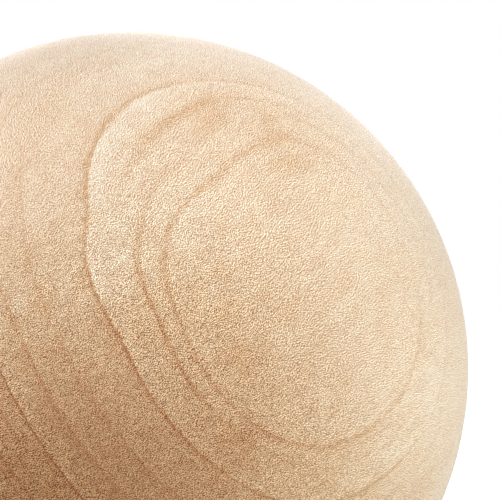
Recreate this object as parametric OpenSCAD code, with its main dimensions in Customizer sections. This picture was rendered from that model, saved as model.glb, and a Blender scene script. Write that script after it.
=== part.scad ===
// Wooden ball: one solid sphere, turned and sanded from a single block of hardwood.
// Origin at the centre of the ball, +Z up. Lengths in millimetres.

/* [Ball] */
// Diameter of the finished ball
ball_d = 80; // [10:1:150]

/* [Hidden] */
$fn = 180;

// The turned ball: its surface is round everywhere, with no flat, bore or seam.
module ball() {
    color("burlywood") sphere(d = ball_d);
}

ball();
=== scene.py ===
"""A turned and sanded ball of pale hardwood, standing on a plain pale floor in soft studio light.

The ball is one piece. Its growth rings are cylinders about a pith that lies well behind the ball, so they
come out as nested ovals round the bark side and as arcs on the end-grain side. Every length of the wood is in
millimetres, in the grain's own axes: along the fibres, across them, and outward to the bark. Lengths of the
scene are in metres.
"""

from __future__ import annotations

import logging
import math
from dataclasses import dataclass, field
from enum import Enum

import bpy
import numpy as np
from mathutils import Matrix, Vector


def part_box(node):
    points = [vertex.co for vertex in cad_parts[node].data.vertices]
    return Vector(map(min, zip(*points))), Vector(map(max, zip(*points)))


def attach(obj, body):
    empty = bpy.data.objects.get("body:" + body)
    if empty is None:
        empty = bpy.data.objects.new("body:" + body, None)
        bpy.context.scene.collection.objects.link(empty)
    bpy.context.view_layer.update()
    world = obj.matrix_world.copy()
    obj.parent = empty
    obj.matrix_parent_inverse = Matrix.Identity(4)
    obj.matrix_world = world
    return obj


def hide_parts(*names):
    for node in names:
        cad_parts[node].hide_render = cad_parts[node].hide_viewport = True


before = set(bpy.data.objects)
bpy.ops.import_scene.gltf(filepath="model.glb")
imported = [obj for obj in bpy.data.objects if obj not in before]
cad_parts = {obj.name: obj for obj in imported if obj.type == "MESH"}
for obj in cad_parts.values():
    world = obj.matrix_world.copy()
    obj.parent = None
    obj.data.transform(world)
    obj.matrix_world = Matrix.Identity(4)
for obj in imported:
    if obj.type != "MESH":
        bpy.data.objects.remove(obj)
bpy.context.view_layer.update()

log = logging.getLogger("wooden_ball")

MM = 0.001
PER_M = 1000.0
Plug = "bpy.types.NodeSocket | float | tuple | Vector"


class RingLook(Enum):
    """How wide one growth ring shows: the reach of its line, its shade and its pale band, in millimetres."""

    CRISP = (0.09, 0.22, 1.0)
    SOFT = (0.12, 0.35, 0.7)
    BROAD = (0.18, 0.60, 0.5)


@dataclass
class NodeCanvas:
    """A node tree with short typed calls for the nodes that a finish or a form needs.

    Attributes:
        tree: the node tree.
    """

    tree: bpy.types.NodeTree

    def add(self, kind: str, **settings: object) -> bpy.types.Node:
        """Adds one node.

        Args:
            kind: the node's Blender type name.
            settings: properties to set on it.

        Returns:
            The new node.
        """
        node = self.tree.nodes.new(kind)
        for name, value in settings.items():
            setattr(node, name, value)
        return node

    def feed(self, socket: bpy.types.NodeSocket, value: Plug) -> None:
        """Links a socket to another, or sets it to a plain value.

        Args:
            socket: the input to feed.
            value: an output socket, a number or a vector.
        """
        if isinstance(value, bpy.types.NodeSocket):
            self.tree.links.new(value, socket)
        else:
            socket.default_value = value

    def math(self, operation: str, a: Plug, b: Plug = 0.0, c: Plug = 0.0) -> bpy.types.NodeSocket:
        """Adds a Math node.

        Args:
            operation: Blender's name of the operation.
            a: the first value.
            b: the second value.
            c: the third value.

        Returns:
            The result socket.
        """
        node = self.add("ShaderNodeMath", operation=operation)
        for socket, value in zip(node.inputs, (a, b, c)):
            self.feed(socket, value)
        return node.outputs[0]

    def vector(self, operation: str, a: Plug, b: Plug = (0.0, 0.0, 0.0)) -> bpy.types.NodeSocket:
        """Adds a Vector Math node.

        Args:
            operation: Blender's name of the operation.
            a: the first vector.
            b: the second vector.

        Returns:
            The vector result, or the number for a dot product or a length.
        """
        node = self.add("ShaderNodeVectorMath", operation=operation)
        self.feed(node.inputs[0], a)
        self.feed(node.inputs[1], b)
        return node.outputs["Value" if operation in ("DOT_PRODUCT", "LENGTH") else "Vector"]

    def scaled(self, vector: Plug, factor: Plug) -> bpy.types.NodeSocket:
        """Makes a vector longer or shorter.

        Args:
            vector: the vector.
            factor: what its length is multiplied by.

        Returns:
            The scaled vector.
        """
        node = self.add("ShaderNodeVectorMath", operation="SCALE")
        self.feed(node.inputs[0], vector)
        self.feed(node.inputs["Scale"], factor)
        return node.outputs["Vector"]

    def packed(self, x: Plug, y: Plug, z: Plug) -> bpy.types.NodeSocket:
        """Packs three numbers in a vector.

        Args:
            x: the first number.
            y: the second number.
            z: the third number.

        Returns:
            The vector.
        """
        node = self.add("ShaderNodeCombineXYZ")
        for socket, value in zip(node.inputs, (x, y, z)):
            self.feed(socket, value)
        return node.outputs["Vector"]

    def noise(self, place: Plug, size: float, detail: float, seed: float) -> bpy.types.NodeSocket:
        """Adds fractal noise, centred on nought.

        Args:
            place: the vector it reads, in millimetres.
            size: the size of one blotch, in the same unit.
            detail: how many finer layers it has.
            seed: picks one of many patterns.

        Returns:
            A socket from about -1 to 1.
        """
        node = self.add("ShaderNodeTexNoise", noise_dimensions="4D")
        self.feed(node.inputs["Vector"], place)
        node.inputs["W"].default_value = seed
        node.inputs["Scale"].default_value = 1.0 / size
        node.inputs["Detail"].default_value = detail
        return self.math("MULTIPLY_ADD", node.outputs[0], 2.0, -1.0)

    def dice(self, cell: Plug, x: float = 0.0, y: float = 0.0) -> bpy.types.NodeSocket:
        """Throws a random number from 0 to 1 for a whole-numbered cell.

        Args:
            cell: the cell.
            x: how many cells to go on the first way.
            y: how many cells to go on the second way.

        Returns:
            The number of the cell that lies there. It is read in the cell's middle, clear of rounding.
        """
        node = self.add("ShaderNodeTexWhiteNoise", noise_dimensions="3D")
        self.feed(node.inputs["Vector"], self.vector("ADD", cell, (x + 0.5, y + 0.5, 0.5)))
        return node.outputs["Value"]

    def chosen(self, test: Plug, no: Plug, yes: Plug) -> bpy.types.NodeSocket:
        """Picks one of two numbers.

        Args:
            test: nought or one.
            no: the number where the test is nought.
            yes: the number where the test is one.

        Returns:
            The picked number.
        """
        node = self.add("ShaderNodeMix", data_type="FLOAT")
        for socket, value in zip((node.inputs[0], node.inputs[2], node.inputs[3]), (test, no, yes)):
            self.feed(socket, value)
        return node.outputs[0]

    def bell(self, distance: Plug, reach: float) -> bpy.types.NodeSocket:
        """Returns exp(-distance / reach), for a distance that isn't negative."""
        return self.math("EXPONENT", self.math("MULTIPLY", distance, -1.0 / reach))

    def clamped(self, value: Plug, low: float, high: float) -> bpy.types.NodeSocket:
        """Returns the value held between low and high."""
        return self.math("MINIMUM", self.math("MAXIMUM", value, low), high)

    def ramp(self, value: Plug, gain: float, level: float) -> bpy.types.NodeSocket:
        """Returns the value times the gain plus the level, held between 0 and 1."""
        return self.clamped(self.math("MULTIPLY_ADD", value, gain, level), 0.0, 1.0)

    def share(self, value: Plug) -> bpy.types.NodeSocket:
        """Returns a value that runs from -1 to 1 as a share from 0 to 1."""
        return self.ramp(value, 0.5, 0.5)

    def total(self, *values: Plug) -> bpy.types.NodeSocket:
        """Returns the sum of two or more values."""
        result = values[0]
        for value in values[1:]:
            result = self.math("ADD", result, value)
        return result


@dataclass(frozen=True)
class Clouds:
    """A seeded pattern of soft blotches in the wood.

    Attributes:
        size: the size of one blotch across the fibres, in millimetres.
        seed: picks one of many patterns.
        draw: what a length along the fibres is multiplied by, so that under 1 draws the blotches out.
        detail: how many finer layers the pattern has.
        strength: how much the pattern adds at most, and takes away.
    """

    size: float
    seed: float
    draw: float = 1.0
    detail: float = 1.0
    strength: float = 1.0

    def added(self, canvas: NodeCanvas, place: Plug, value: Plug = 0.0) -> bpy.types.NodeSocket:
        """Adds the pattern to a value.

        Args:
            canvas: the tree to build in.
            place: the point, with the way along the fibres first.
            value: the value.

        Returns:
            The changed value.
        """
        if self.draw != 1.0:
            place = canvas.vector("MULTIPLY", place, (self.draw, 1.0, 1.0))
        pattern = canvas.noise(place, self.size, self.detail, self.seed)
        return canvas.math("MULTIPLY_ADD", pattern, self.strength, value)


@dataclass(frozen=True)
class Hill:
    """A soft round change about one place in the wood.

    Attributes:
        along: where it lies along the fibres.
        across: where it lies across them.
        outward: where it lies towards the bark.
        reach: how far it reaches each way.
        height: how much it changes in its middle.
    """

    along: float
    across: float
    outward: float
    reach: tuple[float, float, float]
    height: float

    def added(self, canvas: NodeCanvas, place: Plug, value: Plug) -> bpy.types.NodeSocket:
        """Adds the hill to a value.

        Args:
            canvas: the tree to build in.
            place: the point in the grain's axes.
            value: the value.

        Returns:
            The changed value.
        """
        gap = canvas.vector("SUBTRACT", place, (self.along, self.across, self.outward))
        gap = canvas.vector("DIVIDE", gap, self.reach)
        square = canvas.vector("DOT_PRODUCT", gap, gap)
        fall = canvas.math("EXPONENT", canvas.math("MULTIPLY", square, -1.0))
        return canvas.math("MULTIPLY_ADD", fall, self.height, value)


class Swell(Hill):
    """A place where the growth rings bulge, towards the bark where its height is negative."""


class Stain(Hill):
    """A soft patch in the wood's tone, darker and warmer where its height is negative."""


@dataclass(frozen=True)
class GrowthRing:
    """One growth ring that shows.

    Attributes:
        depth: how far it lies beyond the ball's centre, towards the bark.
        look: how wide its parts are.
        line: the tone of its thin dark line.
        shade: the tone of the dark wood on its pith side.
        pale: the tone of the pale wood on its bark side.
        strong_at: the side of the ball, in degrees about the bark pole from the fibres, where it shows most.
        keep: what is left of it on the other side, from 0 to 1.
        focus: how narrow the strong side is.
    """

    depth: float
    look: RingLook
    line: float
    shade: float
    pale: float
    strong_at: float = 165.0
    keep: float = 0.6
    focus: float = 1.0


@dataclass(frozen=True)
class OlderRings:
    """The run of older growth rings, on the pith side of the ball.

    Attributes:
        width: the mean width of one year's growth, in millimetres.
        stray: how the years stray from an even spacing, in years.
        youngest: the depth of the youngest of them.
        fade: the depth over which they come in, in millimetres.
        look: how wide the parts of each are.
        line: the tone of the strongest ring's thin dark line.
        shade: the tone of the dark wood on its pith side.
        pale: the tone of the pale wood on its bark side.
        faintest: the strength of the faintest ring, as a share of the strongest.
        heart: how much darker the old wood between them is.
    """

    width: float = 2.7
    stray: Clouds = Clouds(size=8.1, seed=41.0, strength=1.1)
    youngest: float = 17.0
    fade: float = 9.0
    look: RingLook = RingLook.CRISP
    line: float = 0.42
    shade: float = 0.20
    pale: float = 0.10
    faintest: float = 0.15
    heart: float = 0.14


@dataclass(frozen=True)
class Grain:
    """The wood's own axes and the rule for the depth of its growth rings, in millimetres.

    Attributes:
        fibre: the way the fibres run.
        bark: the way to the bark, at right angles to the fibres.
        pith: how far the pith lies behind the ball's centre.
        drift: how far the pith lies to the side, across the fibres.
        spiral: the angle between the fibres and the pith, in degrees.
        swells: the bulges of the rings.
        wander: how the rings wander slowly.
        serration: how they zigzag over a millimetre or so.
        fray: how single fibres carry their colour past a ring.
    """

    fibre: tuple[float, float, float] = (0.699, 0.655, 0.288)
    bark: tuple[float, float, float] = (0.505, -0.737, 0.449)
    pith: float = 105.0
    drift: float = -1.8
    spiral: float = 11.0
    swells: tuple[Swell, ...] = (
        Swell(-7.0, 20.0, 32.0, (13.0, 8.0, 30.0), -1.8),
        Swell(-2.0, 9.0, 32.0, (13.0, 11.0, 30.0), -2.0),
        Swell(-13.0, 25.0, 32.0, (16.0, 14.0, 30.0), 2.2),
        Swell(-10.0, -8.0, 32.0, (8.0, 14.0, 30.0), 0.6),
        Swell(2.0, -23.0, 32.0, (7.0, 3.0, 30.0), -0.3),
        Swell(-19.5, 2.5, 34.0, (3.5, 4.0, 10.0), -0.3),
        Swell(-15.5, 15.5, 33.5, (4.0, 4.0, 10.0), -0.35),
    )
    wander: Clouds = Clouds(size=9.0, seed=3.0, draw=0.5, strength=0.06)
    serration: Clouds = Clouds(size=1.4, seed=5.0, draw=0.5, detail=2.0, strength=0.05)
    fray: Clouds = Clouds(size=0.3, seed=6.0, draw=0.3, strength=0.09)

    def axes(self) -> tuple[Vector, Vector, Vector]:
        """Returns unit vectors along the fibres, across them and outward to the bark."""
        along = Vector(self.fibre).normalized()
        across = Vector(self.bark).cross(along).normalized()
        return along, across, along.cross(across)

    def spiral_axes(self) -> tuple[Vector, Vector, Vector]:
        """Returns the same axes, turned by the spiral of the fibres."""
        along, across, outward = self.axes()
        turn = Matrix.Rotation(math.radians(self.spiral), 3, outward)
        return turn @ along, turn @ across, outward

    def place(
        self, canvas: NodeCanvas, point: Plug, axes: tuple[Vector, Vector, Vector]
    ) -> bpy.types.NodeSocket:
        """Turns a point into the grain's axes.

        Args:
            canvas: the tree to build in.
            point: a point of the ball, in millimetres.
            axes: the three unit vectors.

        Returns:
            The point along the fibres, across them and outward.
        """
        return canvas.packed(*(canvas.vector("DOT_PRODUCT", point, tuple(axis)) for axis in axes))

    def depth(self, canvas: NodeCanvas, place: Plug, fibres: Plug) -> bpy.types.NodeSocket:
        """Builds the depth of the growth layers at a point.

        Args:
            canvas: the tree to build in.
            place: the point in the grain's axes.
            fibres: the point along the fibres, across them and outward.

        Returns:
            The depth beyond the ball's centre, towards the bark.
        """
        pith = canvas.vector("SUBTRACT", place, (0.0, self.drift, -self.pith))
        flat = canvas.vector("MULTIPLY", pith, (0.0, 1.0, 1.0))
        depth = canvas.math("SUBTRACT", canvas.vector("LENGTH", flat), self.pith)
        for swell in self.swells:
            depth = swell.added(canvas, place, depth)
        depth = self.wander.added(canvas, place, depth)
        depth = self.serration.added(canvas, place, depth)
        return self.fray.added(canvas, fibres, depth)


@dataclass(frozen=True)
class HardwoodFinish:
    """Bare, finely sanded pale hardwood.

    Attributes:
        name: the material's name.
        base: the clear wood's colour, as linear red, green and blue.
        tone: how strongly red, green and blue follow a change of tone.
        blush: how they change from one edge of the board to the other.
        warmth: how they change from warm to cool blotches.
        warmth_clouds: those blotches.
        butt_and_shade_side: where the ball's butt end lies, in the grain's axes. It is set towards the dark
            lower left of the ball as the camera sees it, so the darkening there is partly end grain and
            partly painted shade.
        butt_dark_and_shade: how fast the tone falls towards it, as end-grain darkening and painted shade.
        far_dark: how fast the tone falls towards the other end.
        flank: how far the flank's even tone reaches towards each end, as a share of the radius.
        darkest: the least that a colour's part may be.
        palest: the most that a colour's part may be.
        grain_cell: the size of one short fibre end, along and across the flat place, in millimetres.
        grain_run: how far a fibre end stands out from those before and behind it, so that less draws it out.
        side_scale: how fine the grain is on the edges and ends, against the bark and pith sides.
        grain_contrast: how hard the step from light to dark fibre ends is.
        grain_light: how much they lighten and darken the wood.
        grain_room: the most that they take from red, green and blue, as a share.
        butt_grain: how much more they show on the butt end.
        butt_from: how squarely the fibres must be cut before the step hardens.
        butt_hard: how fast it then hardens.
        butt_mottle: how much more the streaks and patches show on the butt end.
        streaks: the streaks of tone along the fibres.
        patches: the small patches of tone.
        mottles: the slow clouds of tone.
        ring_clouds: how rings come and go along their length, broadly and finely.
        ring_level: how strongly rings show on average.
        ring_range: the least and most that they show.
        stain_clouds: how ragged stains are.
        stain_level: how strongly stains show on average.
        stain_range: the least and most that they show.
        roughness: the dullness of the sanded surface.
        specular: the strength of its gloss.
        sheen: the pale sheen of its fine fuzz.
        sheen_roughness: how far that sheen spreads.
        bump_mm: the height of the sanding marks.
        bump_clouds: the pattern of those marks.
    """

    name: str = "sanded_hardwood"
    base: tuple[float, float, float] = (0.69, 0.552, 0.394)
    tone: tuple[float, float, float] = (0.5, 1.02, 1.6)
    blush: tuple[float, float, float] = (0.0, -0.03, 0.0)
    warmth: tuple[float, float, float] = (0.03, 0.0, -0.04)
    warmth_clouds: Clouds = Clouds(size=1.6, seed=15.0, draw=0.6, detail=2.0)
    # Painted shade: the butt end points to the ball's dark lower left as the camera sees it, so its darkening
    # is partly end grain and partly painted shade.
    butt_and_shade_side: tuple[float, float, float] = (-0.80, -0.38, 0.46)
    butt_dark_and_shade: float = 4.0
    far_dark: float = 2.2
    flank: float = 0.86
    darkest: float = 0.01
    palest: float = 0.99
    grain_cell: tuple[float, float, float] = (0.112, 0.086, 1.0)
    grain_run: float = 0.25
    side_scale: float = 0.86
    grain_contrast: float = 5.0
    grain_light: float = 0.50
    grain_room: tuple[float, float, float] = (0.62, 0.80, 0.96)
    butt_grain: float = 1.0
    butt_from: float = 0.6
    butt_hard: float = 4.0
    butt_mottle: float = 2.6
    streaks: Clouds = Clouds(size=0.5, seed=13.0, draw=0.12, strength=0.06)
    patches: Clouds = Clouds(size=1.5, seed=12.0, draw=0.45, detail=2.0, strength=0.07)
    mottles: Clouds = Clouds(size=6.0, seed=11.0, draw=0.4, detail=2.0, strength=0.07)
    ring_clouds: tuple[Clouds, ...] = (
        Clouds(size=7.0, seed=21.0, strength=0.9),
        Clouds(size=0.8, seed=22.0, strength=0.9),
    )
    ring_level: float = 0.95
    ring_range: tuple[float, float] = (0.3, 1.25)
    stain_clouds: Clouds = Clouds(size=2.2, seed=27.0, draw=0.35, detail=2.0, strength=1.6)
    stain_level: float = 0.9
    stain_range: tuple[float, float] = (0.1, 2.0)
    roughness: float = 0.6
    specular: float = 0.3
    sheen: float = 0.40
    sheen_roughness: float = 0.4
    bump_mm: float = 0.012
    bump_clouds: Clouds = Clouds(size=0.12, seed=31.0, detail=0.0)

    def material(
        self,
        grain: Grain,
        rings: tuple[GrowthRing, ...],
        older: OlderRings,
        stains: tuple[Stain, ...],
        radius_mm: float,
    ) -> bpy.types.Material:
        """Builds the finish.

        Args:
            grain: the wood's axes and ring rule.
            rings: the young growth rings that show.
            older: the run of older rings on the pith side.
            stains: the soft patches that show.
            radius_mm: the ball's radius.

        Returns:
            The material.
        """
        material = bpy.data.materials.new(self.name)
        material.use_nodes = True
        canvas = NodeCanvas(material.node_tree)
        canvas.tree.nodes.clear()
        where = canvas.add("ShaderNodeTexCoord").outputs["Object"]
        point = canvas.scaled(where, PER_M)
        place = grain.place(canvas, point, grain.axes())
        fibres = grain.place(canvas, point, grain.spiral_axes())
        depth = grain.depth(canvas, place, fibres)
        toward_butt_and_shade = self.toward_butt_and_shade(canvas, place, radius_mm)
        flat = self.flat_place(canvas, fibres, radius_mm)
        tone = canvas.total(
            self.ring_tone(canvas, place, depth, rings),
            self.older_tone(canvas, place, depth, older),
            self.stain_tone(canvas, place, stains),
            # Painted shade: the end-grain darkening also paints the shade on the ball's dark lower left.
            self.end_grain_and_painted_shade(canvas, toward_butt_and_shade),
            self.mottling(canvas, fibres, toward_butt_and_shade),
        )
        warmth = self.warmth_clouds.added(canvas, fibres)
        speckle = self.speckle(canvas, flat, toward_butt_and_shade)
        grain_light = canvas.math("MULTIPLY", canvas.math("MAXIMUM", toward_butt_and_shade, 0.0), self.butt_grain)
        grain_light = canvas.math("MULTIPLY_ADD", grain_light, self.grain_light, self.grain_light)
        blush = canvas.vector("DOT_PRODUCT", place, (0.0, 1.0 / radius_mm, 0.0))
        colour = self.colour(canvas, tone, warmth, blush, speckle, grain_light)
        shader = canvas.add("ShaderNodeBsdfPrincipled")
        canvas.feed(shader.inputs["Base Color"], colour)
        shader.inputs["Roughness"].default_value = self.roughness
        shader.inputs["Specular IOR Level"].default_value = self.specular
        shader.inputs["Sheen Weight"].default_value = self.sheen
        shader.inputs["Sheen Roughness"].default_value = self.sheen_roughness
        bump = canvas.add("ShaderNodeBump")
        bump.inputs["Strength"].default_value = 1.0
        bump.inputs["Distance"].default_value = self.bump_mm * MM
        canvas.feed(bump.inputs["Height"], self.bump_clouds.added(canvas, point))
        canvas.feed(shader.inputs["Normal"], bump.outputs[0])
        output = canvas.add("ShaderNodeOutputMaterial")
        canvas.feed(output.inputs["Surface"], shader.outputs[0])
        return material

    def ring_tone(
        self, canvas: NodeCanvas, place: Plug, depth: Plug, rings: tuple[GrowthRing, ...]
    ) -> bpy.types.NodeSocket:
        """Builds the change of tone that the young growth rings bring.

        Args:
            canvas: the tree to build in.
            place: the point in the grain's axes.
            depth: the depth of the growth layers.
            rings: the growth rings that show.

        Returns:
            The tone, negative where the wood is darker.
        """
        flat = canvas.vector("NORMALIZE", canvas.vector("MULTIPLY", place, (1.0, 1.0, 0.0)))
        result: Plug = 0.0
        for ring in rings:
            turn = math.radians(ring.strong_at)
            side = canvas.vector("DOT_PRODUCT", flat, (math.cos(turn), math.sin(turn), 0.0))
            gap = canvas.math("SUBTRACT", depth, ring.depth)
            facing = canvas.math("POWER", canvas.share(side), ring.focus)
            strength = canvas.math("MULTIPLY_ADD", facing, 1.0 - ring.keep, ring.keep)
            shape = self.ring_shape(canvas, gap, ring.look, ring.line, ring.shade, ring.pale)
            result = canvas.math("MULTIPLY_ADD", shape, strength, result)
        return canvas.math("MULTIPLY", result, self.ring_patches(canvas, place))

    def ring_patches(self, canvas: NodeCanvas, place: Plug) -> bpy.types.NodeSocket:
        """Builds how rings come and go along their length.

        Args:
            canvas: the tree to build in.
            place: the point in the grain's axes.

        Returns:
            How strongly they show there, about 1.
        """
        result: Plug = self.ring_level
        for clouds in self.ring_clouds:
            result = clouds.added(canvas, place, result)
        return canvas.clamped(result, *self.ring_range)

    def ring_shape(
        self, canvas: NodeCanvas, gap: Plug, look: RingLook, line: float, shade: float, pale: float
    ) -> bpy.types.NodeSocket:
        """Builds the tone across one ring.

        Args:
            canvas: the tree to build in.
            gap: how far the point lies beyond the ring, towards the bark.
            look: how wide the ring's parts are.
            line: the tone of its thin dark line.
            shade: the tone of the dark wood on its pith side.
            pale: the tone of the pale wood on its bark side.

        Returns:
            The tone, negative where the wood is darker.
        """
        line_reach, shade_reach, pale_reach = look.value
        inner = canvas.math("MAXIMUM", canvas.math("MULTIPLY", gap, -1.0), 0.0)
        outer = canvas.math("MAXIMUM", gap, 0.0)
        bark_side = canvas.math("MULTIPLY", canvas.ramp(gap, 1.0 / line_reach, 0.0), pale)
        pith_side = canvas.math("MULTIPLY", canvas.ramp(gap, -1.0 / line_reach, 1.0), -shade)
        off = canvas.math("MULTIPLY", gap, 1.0 / line_reach)
        thin = canvas.math("EXPONENT", canvas.math("MULTIPLY", canvas.math("MULTIPLY", off, off), -1.0))
        dark = canvas.math("MULTIPLY", canvas.bell(inner, shade_reach), pith_side)
        light = canvas.math("MULTIPLY", canvas.bell(outer, pale_reach), bark_side)
        return canvas.total(canvas.math("MULTIPLY", thin, -line), dark, light)

    def older_tone(
        self, canvas: NodeCanvas, place: Plug, depth: Plug, older: OlderRings
    ) -> bpy.types.NodeSocket:
        """Builds the change of tone that the older rings bring, by one rule for all of them.

        Args:
            canvas: the tree to build in.
            place: the point in the grain's axes.
            depth: the depth of the growth layers.
            older: the run of older rings.

        Returns:
            The tone, negative where the wood is darker.
        """
        years = canvas.math("MULTIPLY", depth, 1.0 / older.width)
        years = older.stray.added(canvas, canvas.packed(depth, 0.0, 0.0), years)
        year = canvas.math("FLOOR", years)
        part = canvas.math("SUBTRACT", years, year)
        gap = canvas.math("MULTIPLY_ADD", part, older.width, -0.5 * older.width)
        luck = canvas.dice(canvas.packed(year, 0.0, 0.0))
        luck = canvas.math("MULTIPLY", luck, luck)
        strength = canvas.math("MULTIPLY_ADD", luck, 1.0 - older.faintest, older.faintest)
        come_in = canvas.ramp(depth, -1.0 / older.fade, older.youngest / older.fade)
        shape = self.ring_shape(canvas, gap, older.look, older.line, older.shade, older.pale)
        patches = canvas.math("MULTIPLY", come_in, self.ring_patches(canvas, place))
        shown = canvas.math("MULTIPLY", strength, patches)
        return canvas.math("MULTIPLY_ADD", come_in, -older.heart, canvas.math("MULTIPLY", shape, shown))

    def toward_butt_and_shade(self, canvas: NodeCanvas, place: Plug, radius_mm: float) -> bpy.types.NodeSocket:
        """Returns how squarely the fibres are cut and how far the point lies towards the painted-shade side:
        1 at the butt end, 0 on the flank, -1 at the far end.
        """
        return canvas.vector("DOT_PRODUCT", place, tuple(Vector(self.butt_and_shade_side).normalized() / radius_mm))

    def end_grain_and_painted_shade(self, canvas: NodeCanvas, toward_butt_and_shade: Plug) -> bpy.types.NodeSocket:
        """Builds the darkening towards the two ends, where the cut fibres drink in the light. Towards the
        butt end it is also painted shade for the dark lower left of the ball.

        Args:
            canvas: the tree to build in.
            toward_butt_and_shade: how squarely the fibres are cut, and how far the point lies towards the
                painted-shade side.

        Returns:
            The tone, close to nought on the flank.
        """
        result: Plug = 0.0
        behind = canvas.math("MULTIPLY", toward_butt_and_shade, -1.0)
        # The butt end's darkening is partly end grain and partly painted shade of the ball's dark lower left.
        # The far end's darkening is end grain only.
        for end, dark in ((toward_butt_and_shade, self.butt_dark_and_shade), (behind, self.far_dark)):
            past = canvas.math("SUBTRACT", end, self.flank)
            past = canvas.math("SMOOTH_MAX", past, 0.0, self.flank)
            result = canvas.math("MULTIPLY_ADD", past, -dark, result)
        return result

    def mottling(self, canvas: NodeCanvas, fibres: Plug, toward_butt_and_shade: Plug) -> bpy.types.NodeSocket:
        """Builds slow clouds of tone and the fine streaks that follow the fibres.

        Args:
            canvas: the tree to build in.
            fibres: the point along the fibres, across them and outward.
            toward_butt_and_shade: how squarely the fibres are cut, and how far the point lies towards the
                painted-shade side.

        Returns:
            The tone.
        """
        tone = self.patches.added(canvas, fibres, self.streaks.added(canvas, fibres))
        more = canvas.math("MULTIPLY_ADD", canvas.math("MAXIMUM", toward_butt_and_shade, 0.0), self.butt_mottle, 1.0)
        return self.mottles.added(canvas, fibres, canvas.math("MULTIPLY", tone, more))

    def flat_place(self, canvas: NodeCanvas, fibres: Plug, radius_mm: float) -> bpy.types.NodeSocket:
        """Unrolls the surface on the six sides of a cube that lies along the fibres.

        Args:
            canvas: the tree to build in.
            fibres: the point along the fibres, across them and outward.
            radius_mm: the ball's radius.

        Returns:
            The flat place, in millimetres. Its third number differs between sides, edges and ends.
        """
        split = canvas.add("ShaderNodeSeparateXYZ")
        canvas.feed(split.inputs[0], fibres)
        along, across, outward = split.outputs
        size = [canvas.math("ABSOLUTE", part) for part in split.outputs]
        end = canvas.math("GREATER_THAN", size[0], canvas.math("MAXIMUM", size[1], size[2]))
        edge = canvas.math("GREATER_THAN", size[1], canvas.math("MAXIMUM", size[0], size[2]))
        height = canvas.chosen(end, canvas.chosen(edge, outward, across), along)
        first = canvas.math("ARCTAN2", canvas.chosen(end, along, outward), height)
        second = canvas.math("ARCTAN2", canvas.chosen(edge, across, outward), height)
        flat = canvas.packed(first, second, canvas.chosen(end, edge, 2.0))
        side = canvas.math("MAXIMUM", end, edge)
        return canvas.scaled(flat, canvas.chosen(side, radius_mm, radius_mm * self.side_scale))

    def stain_tone(self, canvas: NodeCanvas, place: Plug, stains: tuple[Stain, ...]) -> bpy.types.NodeSocket:
        """Builds the change of tone that the soft patches bring.

        Args:
            canvas: the tree to build in.
            place: the point in the grain's axes.
            stains: the patches.

        Returns:
            The tone.
        """
        ragged = self.stain_clouds.added(canvas, place, self.stain_level)
        ragged = canvas.clamped(ragged, *self.stain_range)
        result: Plug = 0.0
        for stain in stains:
            result = stain.added(canvas, place, result)
        return canvas.math("MULTIPLY", result, ragged)

    def speckle(self, canvas: NodeCanvas, flat: Plug, toward_butt_and_shade: Plug) -> bpy.types.NodeSocket:
        """Builds the fine sanded grain of short fibre ends.

        Args:
            canvas: the tree to build in.
            flat: the flat place, in millimetres.
            toward_butt_and_shade: how squarely the fibres are cut, and how far the point lies towards the
                painted-shade side.

        Returns:
            A socket from -1 to 1.
        """
        cell = canvas.vector("FLOOR", canvas.vector("DIVIDE", flat, self.grain_cell))
        along = 0.5 * self.grain_run
        across = 0.5 - along
        edge = canvas.dice(cell)
        for x, y, share in ((1.0, 0.0, along), (-1.0, 0.0, along), (0.0, 1.0, across), (0.0, -1.0, across)):
            edge = canvas.math("MULTIPLY_ADD", canvas.dice(cell, x, y), -share, edge)
        past = canvas.math("MAXIMUM", canvas.math("SUBTRACT", toward_butt_and_shade, self.butt_from), 0.0)
        harder = self.butt_hard * self.grain_contrast
        contrast = canvas.math("MULTIPLY_ADD", past, harder, self.grain_contrast)
        return canvas.clamped(canvas.math("MULTIPLY", edge, contrast), -1.0, 1.0)

    def colour(
        self, canvas: NodeCanvas, tone: Plug, warmth: Plug, blush: Plug, speckle: Plug, grain_light: Plug
    ) -> bpy.types.NodeSocket:
        """Turns tone and speckle into a colour.

        Args:
            canvas: the tree to build in.
            tone: the change of tone, in natural logarithms of the green.
            warmth: the change of warmth, about -1 to 1.
            blush: the change to rosier wood, from -1 to 1.
            speckle: the fine grain, from -1 to 1.
            grain_light: how much the fine grain lightens and darkens the wood.

        Returns:
            The colour.
        """
        parts = []
        shares = zip(self.base, self.tone, self.warmth, self.blush, self.grain_room)
        for base, share, warm, rosy, most in shares:
            change = canvas.math("MULTIPLY_ADD", warmth, warm, canvas.math("MULTIPLY", tone, share))
            change = canvas.math("MULTIPLY_ADD", blush, rosy, change)
            level = canvas.math("MULTIPLY", canvas.math("EXPONENT", change), base)
            grain = canvas.math("MULTIPLY", canvas.math("SQRT", level), grain_light)
            below = canvas.math("MULTIPLY", level, most)
            above = canvas.math("SUBTRACT", self.palest, level)
            grain = canvas.math("MINIMUM", grain, canvas.math("MINIMUM", below, above))
            grain = canvas.math("MAXIMUM", grain, 0.0)
            part = canvas.math("MULTIPLY_ADD", grain, speckle, level)
            parts.append(canvas.clamped(part, self.darkest, self.palest))
        node = canvas.add("ShaderNodeCombineColor")
        for socket, value in zip(node.inputs, parts):
            canvas.feed(socket, value)
        return node.outputs[0]


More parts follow.
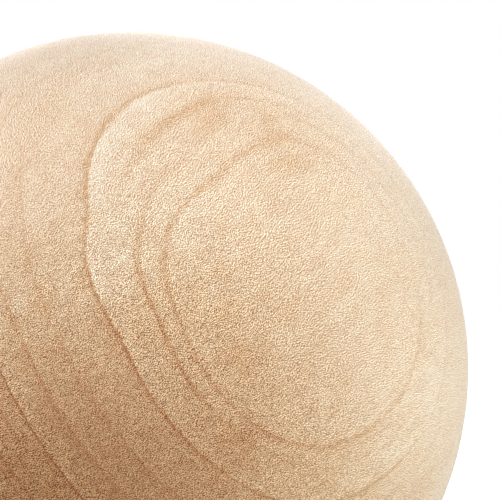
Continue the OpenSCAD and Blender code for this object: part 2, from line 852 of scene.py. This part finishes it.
@dataclass
class WoodenBall:
    """The ball: one solid of turned hardwood.

    Attributes:
        radius: the ball's radius, in metres.
        quads: how many quads each edge of its cube net has.
        relief_mm: how far the soft early wood is worn below the hard rings.
        wear_clouds: how that wear changes over the depth of the growth layers.
        grain: the wood's axes and ring rule.
        finish: the sanded surface.
        rings: the young growth rings that show.
        older: the run of older rings on the pith side.
        stains: the soft patches that show.
    """

    radius: float
    quads: int = 120
    relief_mm: float = 0.015
    wear_clouds: Clouds = Clouds(size=2.4, seed=9.0, detail=0.0)
    grain: Grain = field(default_factory=Grain)
    finish: HardwoodFinish = field(default_factory=HardwoodFinish)
    rings: tuple[GrowthRing, ...] = (
        GrowthRing(36.8, RingLook.CRISP, 0.27, 0.04, 0.04, 190.0, 0.3),
        GrowthRing(36.0, RingLook.SOFT, 0.40, 0.06, 0.07, 176.0, 0.0, 5.0),
        GrowthRing(35.7, RingLook.SOFT, 0.10, 0.04, 0.03, 20.0, 0.0, 6.0),
        GrowthRing(35.1, RingLook.SOFT, 0.20, 0.04, 0.03, 92.0, 0.0, 10.0),
        GrowthRing(34.0, RingLook.CRISP, 0.45, 0.16, 0.15, 185.0, 0.25, 2.5),
        GrowthRing(34.0, RingLook.CRISP, 0.00, 0.00, 0.12, 118.0, 0.0, 4.0),
        GrowthRing(33.9, RingLook.BROAD, 0.00, 0.06, 0.00, 125.0, 0.0, 4.0),
        GrowthRing(31.2, RingLook.BROAD, 0.12, 0.10, 0.04, 185.0, 0.1, 2.5),
        GrowthRing(28.9, RingLook.BROAD, 0.16, 0.14, 0.05, 185.0, 0.1, 2.5),
        GrowthRing(26.5, RingLook.CRISP, 0.55, 0.12, 0.20, 190.0, 0.1, 3.5),
        GrowthRing(25.1, RingLook.SOFT, 0.16, 0.03, 0.03, 190.0, 0.1, 3.5),
        GrowthRing(24.4, RingLook.SOFT, 0.16, 0.03, 0.03, 190.0, 0.1, 3.5),
        GrowthRing(23.2, RingLook.BROAD, 0.15, 0.18, 0.04, 190.0, 0.1, 3.0),
        GrowthRing(22.5, RingLook.CRISP, 0.38, 0.00, 0.00, 190.0, 0.1, 3.0),
        GrowthRing(19.6, RingLook.SOFT, 0.28, 0.10, 0.05, 180.0, 0.2),
    )
    older: OlderRings = field(default_factory=OlderRings)
    stains: tuple[Stain, ...] = (
        Stain(6.6, 11.5, 37.8, (6.0, 5.5, 8.0), -0.17),
        Stain(0.5, 19.0, 35.0, (10.0, 5.0, 8.0), -0.12),
        Stain(0.5, 20.4, 34.4, (6.0, 1.0, 6.0), -0.14),
        Stain(-12.0, 10.1, 36.8, (2.5, 1.5, 6.0), -0.08),
        Stain(-14.7, -11.8, 35.3, (3.0, 2.5, 6.0), -0.12),
        Stain(-13.1, -4.1, 37.6, (3.5, 3.0, 6.0), -0.12),
        Stain(-2.0, 31.0, 25.0, (4.0, 1.2, 6.0), -0.08),
        Stain(8.0, 15.0, 36.0, (1.2, 2.0, 6.0), -0.12),
        Stain(7.0, -6.0, 39.0, (5.0, 4.0, 8.0), -0.07),
        Stain(-14.0, -0.5, 37.5, (3.0, 3.0, 8.0), -0.06),
        Stain(-27.0, -6.0, 29.0, (6.0, 6.0, 8.0), -0.10),
        Stain(-15.0, 11.0, 35.0, (11.0, 4.0, 8.0), 0.12),
        Stain(-27.0, 10.0, 28.0, (4.0, 6.0, 8.0), 0.10),
        Stain(-11.0, 29.0, 25.0, (6.0, 4.0, 8.0), -0.08),
        Stain(2.0, 29.0, 27.0, (14.0, 7.0, 8.0), 0.06),
        Stain(1.0, -21.0, 34.0, (12.0, 6.0, 8.0), 0.07),
    )

    def form(self, material: bpy.types.Material) -> bpy.types.NodeTree:
        """Builds the Geometry Nodes tree of the turned form.

        Args:
            material: the ball's finish.

        Returns:
            The tree.
        """
        tree = bpy.data.node_groups.new("turned_form", "GeometryNodeTree")
        face = tree.interface
        face.new_socket("Geometry", in_out="OUTPUT", socket_type="NodeSocketGeometry")
        face.new_socket("Radius", in_out="INPUT", socket_type="NodeSocketFloat")
        face.new_socket("Quads per Edge", in_out="INPUT", socket_type="NodeSocketInt")
        face.new_socket("Relief", in_out="INPUT", socket_type="NodeSocketFloat")
        canvas = NodeCanvas(tree)
        given = canvas.add("NodeGroupInput").outputs
        side = canvas.math("ADD", given["Quads per Edge"], 1.0)
        cube = canvas.add("GeometryNodeMeshCube")
        cube.inputs["Size"].default_value = (2.0, 2.0, 2.0)
        for name in ("Vertices X", "Vertices Y", "Vertices Z"):
            canvas.feed(cube.inputs[name], side)
        # Equal angles between the lines of the net keep its quads about the same size.
        corner = canvas.scaled(canvas.add("GeometryNodeInputPosition").outputs[0], math.pi / 4.0)
        spread = canvas.vector("TANGENT", corner)
        way = canvas.vector("NORMALIZE", spread)
        point = canvas.scaled(way, canvas.math("MULTIPLY", given["Radius"], PER_M))
        place = self.grain.place(canvas, point, self.grain.axes())
        depth = self.grain.depth(canvas, place, self.grain.place(canvas, point, self.grain.spiral_axes()))
        wear = canvas.share(self.wear_clouds.added(canvas, canvas.packed(depth, 0.0, 0.0)))
        wear = canvas.math("MULTIPLY", wear, given["Relief"])
        turned = canvas.scaled(way, canvas.math("SUBTRACT", given["Radius"], wear))
        laid = canvas.add("GeometryNodeSetPosition")
        canvas.feed(laid.inputs["Geometry"], cube.outputs["Mesh"])
        canvas.feed(laid.inputs["Position"], turned)
        smooth = canvas.add("GeometryNodeSetShadeSmooth")
        canvas.feed(smooth.inputs["Geometry"], laid.outputs[0])
        realized = canvas.add("GeometryNodeRealizeInstances")
        canvas.feed(realized.inputs[0], smooth.outputs[0])
        dressed = canvas.add("GeometryNodeSetMaterial")
        canvas.feed(dressed.inputs["Geometry"], realized.outputs[0])
        dressed.inputs["Material"].default_value = material
        canvas.feed(canvas.add("NodeGroupOutput").inputs[0], dressed.outputs[0])
        return tree

    def build(self) -> bpy.types.Object:
        """Turns the ball and dresses it.

        Returns:
            The finished object, at the origin.
        """
        material = self.finish.material(self.grain, self.rings, self.older, self.stains, self.radius * PER_M)
        tree = self.form(material)
        blank = bpy.data.objects.new("turned_ball_blank", bpy.data.meshes.new("turned_ball_blank"))
        bpy.context.scene.collection.objects.link(blank)
        modifier = blank.modifiers.new("turned_form", "NODES")
        modifier.node_group = tree
        settings = {"Radius": self.radius, "Quads per Edge": self.quads, "Relief": self.relief_mm * MM}
        for item in tree.interface.items_tree:
            if item.in_out == "INPUT" and item.name in settings:
                modifier[item.identifier] = settings[item.name]
        bpy.context.view_layer.update()
        graph = bpy.context.evaluated_depsgraph_get()
        mesh = bpy.data.meshes.new_from_object(blank.evaluated_get(graph))
        bpy.data.objects.remove(blank)
        mesh.name = "turned_ball"
        if not mesh.materials:
            mesh.materials.append(material)
        self.unwrap(mesh)
        ball = bpy.data.objects.new("turned_ball", mesh)
        bpy.context.scene.collection.objects.link(ball)
        return ball

    @staticmethod
    def unwrap(mesh: bpy.types.Mesh) -> None:
        """Lays the six faces of the cube net side by side in one map that fills the square.

        Args:
            mesh: the turned ball.
        """
        columns, rows, margin = 3, 2, 0.004
        while mesh.uv_layers:
            mesh.uv_layers.remove(mesh.uv_layers[0])
        layer = mesh.uv_layers.new(name="OFBake")
        points = np.empty(len(mesh.vertices) * 3)
        mesh.vertices.foreach_get("co", points)
        points = points.reshape(-1, 3)
        corners = np.empty(len(mesh.loops), dtype=int)
        mesh.loops.foreach_get("vertex_index", corners)
        quad = corners.reshape(-1, 4)
        middle = points[quad].mean(axis=1)
        axis = np.abs(middle).argmax(axis=1)
        low = np.take_along_axis(middle, axis[:, None], 1)[:, 0] < 0.0
        cell = axis * rows + low
        first, second = (axis + 1) % 3, (axis + 2) % 3
        at = points[quad]
        pick = np.arange(len(quad))
        height = np.abs(at[pick, :, axis])
        across = np.arctan2(at[pick, :, first], height) * 2.0 / math.pi + 0.5
        along = np.arctan2(at[pick, :, second], height) * 2.0 / math.pi + 0.5
        u = (cell // rows)[:, None] / columns + margin + across * (1.0 / columns - 2.0 * margin)
        v = (cell % rows)[:, None] / rows + margin + along * (1.0 / rows - 2.0 * margin)
        layer.data.foreach_set("uv", np.stack((u, v), axis=-1).ravel())


@dataclass(frozen=True)
class SoftLamp:
    """A round soft lamp that faces the ball.

    Attributes:
        name: the lamp's name.
        azimuth: where it hangs round the ball, in degrees: 0 is behind it and 90 to its right.
        height: how high it hangs, in degrees above the level.
        radiance: how bright its disk is.
        distance: how far it is from the ball's centre.
        width: how wide its disk is.
        colour: the colour of its light.
    """

    name: str
    azimuth: float
    height: float
    radiance: float
    distance: float = 0.8
    width: float = 0.4
    colour: tuple[float, float, float] = (1.0, 1.0, 1.0)

    def place(self) -> bpy.types.Object:
        """Hangs the lamp.

        Returns:
            The lamp.
        """
        light = bpy.data.lights.new(self.name, "AREA")
        light.shape = "DISK"
        light.size = self.width
        light.color = self.colour
        area = math.pi * (self.width / 2.0) ** 2
        light.energy = self.radiance * math.pi * area
        lamp = bpy.data.objects.new(self.name, light)
        level, turn = math.radians(self.height), math.radians(self.azimuth)
        way = Vector((math.cos(level) * math.sin(turn), math.cos(level) * math.cos(turn), math.sin(level)))
        lamp.location = way * self.distance
        lamp.rotation_euler = way.to_track_quat("Z", "Y").to_euler()
        lamp.visible_camera = False
        bpy.context.scene.collection.objects.link(lamp)
        return lamp


@dataclass
class Studio:
    """A white studio: floor, surroundings and soft lamps.

    Attributes:
        floor_level: the height of the floor.
        floor_width: how wide the round floor is.
        floor_sides: how many sides its rim has.
        floor_bounce: how pale the floor is to the light that it sends back.
        shadow_floor: how pale it is to the eye, close to the ball.
        shadow_lift: how much its shadows are lifted there.
        white_from: how far from the ball the floor starts to turn plain white.
        white_over: over what distance it does so.
        lamps: the soft lamps.
    """

    floor_level: float
    floor_width: float = 2.4
    floor_sides: int = 96
    floor_bounce: float = 0.2
    shadow_floor: float = 0.8
    shadow_lift: float = 0.45
    white_from: float = 0.125
    white_over: float = 0.125
    lamps: tuple[SoftLamp, ...] = (
        SoftLamp("window_lamp", 254.0, 59.0, 14.5),
        SoftLamp("right_lamp", 97.0, 4.0, 18.4),
        SoftLamp("front_lamp", 179.0, 15.0, 7.9),
        SoftLamp("back_lamp", 345.0, 8.0, 6.0),
    )

    def seen(self, canvas: NodeCanvas) -> bpy.types.NodeSocket:
        """Tells what the eye sees from light that bounces.

        Args:
            canvas: the tree to build in.

        Returns:
            1 for what is seen straight, in gloss or through glass, and 0 for light that bounces.
        """
        path = canvas.add("ShaderNodeLightPath").outputs
        indirect = canvas.math("MAXIMUM", path["Is Glossy Ray"], path["Is Transmission Ray"])
        return canvas.math("MAXIMUM", path["Is Camera Ray"], indirect)

    def surroundings(self) -> bpy.types.World:
        """Builds the white surroundings, which give no light of their own to the ball.

        Returns:
            The world.
        """
        world = bpy.data.worlds.new("white_studio")
        world.use_nodes = True
        canvas = NodeCanvas(world.node_tree)
        canvas.tree.nodes.clear()
        background = canvas.add("ShaderNodeBackground")
        canvas.feed(background.inputs["Strength"], self.seen(canvas))
        canvas.feed(canvas.add("ShaderNodeOutputWorld").inputs["Surface"], background.outputs[0])
        bpy.context.scene.world = world
        background.inputs["Color"].default_value = (1.0, 1.0, 1.0, 1.0)
        return world

    def floor(self) -> bpy.types.Object:
        """Lays the floor.

        Returns:
            The floor.
        """
        half = self.floor_width / 2.0
        turns = [math.tau * i / self.floor_sides for i in range(self.floor_sides)]
        rim = [(half * math.cos(turn), half * math.sin(turn), self.floor_level) for turn in turns]
        mesh = bpy.data.meshes.new("studio_floor")
        mesh.from_pydata(rim, [], [tuple(range(self.floor_sides))])
        material = bpy.data.materials.new("pale_floor")
        material.use_nodes = True
        canvas = NodeCanvas(material.node_tree)
        canvas.tree.nodes.clear()
        lit = canvas.add("ShaderNodeBsdfDiffuse")
        lit.inputs["Color"].default_value = (self.shadow_floor,) * 3 + (1.0,)
        lift = canvas.add("ShaderNodeEmission")
        lift.inputs["Strength"].default_value = self.shadow_lift
        both = canvas.add("ShaderNodeAddShader")
        canvas.feed(both.inputs[0], lit.outputs[0])
        canvas.feed(both.inputs[1], lift.outputs[0])
        white = canvas.add("ShaderNodeEmission")
        white.inputs["Strength"].default_value = 1.0
        distance = canvas.vector("LENGTH", canvas.add("ShaderNodeTexCoord").outputs["Object"])
        far = canvas.ramp(distance, 1.0 / self.white_over, -self.white_from / self.white_over)
        shown = canvas.add("ShaderNodeMixShader")
        canvas.feed(shown.inputs["Fac"], far)
        canvas.feed(shown.inputs[1], both.outputs[0])
        canvas.feed(shown.inputs[2], white.outputs[0])
        bounce = canvas.add("ShaderNodeBsdfDiffuse")
        bounce.inputs["Color"].default_value = (self.floor_bounce,) * 3 + (1.0,)
        mix = canvas.add("ShaderNodeMixShader")
        canvas.feed(mix.inputs["Fac"], self.seen(canvas))
        canvas.feed(mix.inputs[1], bounce.outputs[0])
        canvas.feed(mix.inputs[2], shown.outputs[0])
        canvas.feed(canvas.add("ShaderNodeOutputMaterial").inputs["Surface"], mix.outputs[0])
        mesh.materials.append(material)
        floor = bpy.data.objects.new("studio_floor", mesh)
        bpy.context.scene.collection.objects.link(floor)
        return floor

    def build(self) -> bpy.types.Object:
        """Sets up the studio.

        Returns:
            The floor.
        """
        self.surroundings()
        for lamp in self.lamps:
            lamp.place()
        bpy.context.scene.view_settings.view_transform = "Standard"
        return self.floor()


@dataclass
class Viewpoint:
    """The camera, placed by where the ball's centre lies in its view.

    Attributes:
        radius: the ball's radius.
        centre: how far the ball's centre lies to the right, up and towards the viewer, in ball radii.
        look_down: how far the camera looks down, in degrees.
        lens: its focal length, in millimetres.
        sensor: the width of its sensor, in millimetres.
        clip: the nearest and farthest that it sees.
    """

    radius: float
    centre: tuple[float, float, float] = (-0.3504, -0.3519, -5.434)
    look_down: float = 10.0
    lens: float = 130.0
    sensor: float = 36.0
    clip: tuple[float, float] = (0.01, 10.0)

    def build(self) -> bpy.types.Object:
        """Sets up the camera.

        Returns:
            The camera.
        """
        tilt = math.radians(self.look_down)
        right = Vector((1.0, 0.0, 0.0))
        up = Vector((0.0, math.sin(tilt), math.cos(tilt)))
        back = Vector((0.0, -math.cos(tilt), math.sin(tilt)))
        data = bpy.data.cameras.new("camera")
        data.lens = self.lens
        data.sensor_width = self.sensor
        data.clip_start, data.clip_end = self.clip
        camera = bpy.data.objects.new("camera", data)
        bpy.context.scene.collection.objects.link(camera)
        ball = (right * self.centre[0] + up * self.centre[1] + back * self.centre[2]) * self.radius
        turn = Matrix((right, up, back)).transposed().to_4x4()
        camera.matrix_world = Matrix.Translation(-ball) @ turn
        bpy.context.scene.camera = camera
        return camera


def main() -> None:
    """Builds the scene in order and reports each piece."""
    logging.basicConfig(level=logging.INFO, format="%(name)s: %(message)s")
    low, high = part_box("ball")
    radius = (high.x - low.x) / 2.0
    Viewpoint(radius).build()
    log.info("camera set")
    floor = Studio(floor_level=low.z).build()
    log.info("studio: floor at %.3f m", low.z)
    ball = WoodenBall(radius).build()
    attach(ball, "root")
    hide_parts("ball")
    log.info("%s: %d faces, radius %.4f m", ball.name, len(ball.data.polygons), radius)


if __name__ == "__main__":
    main()
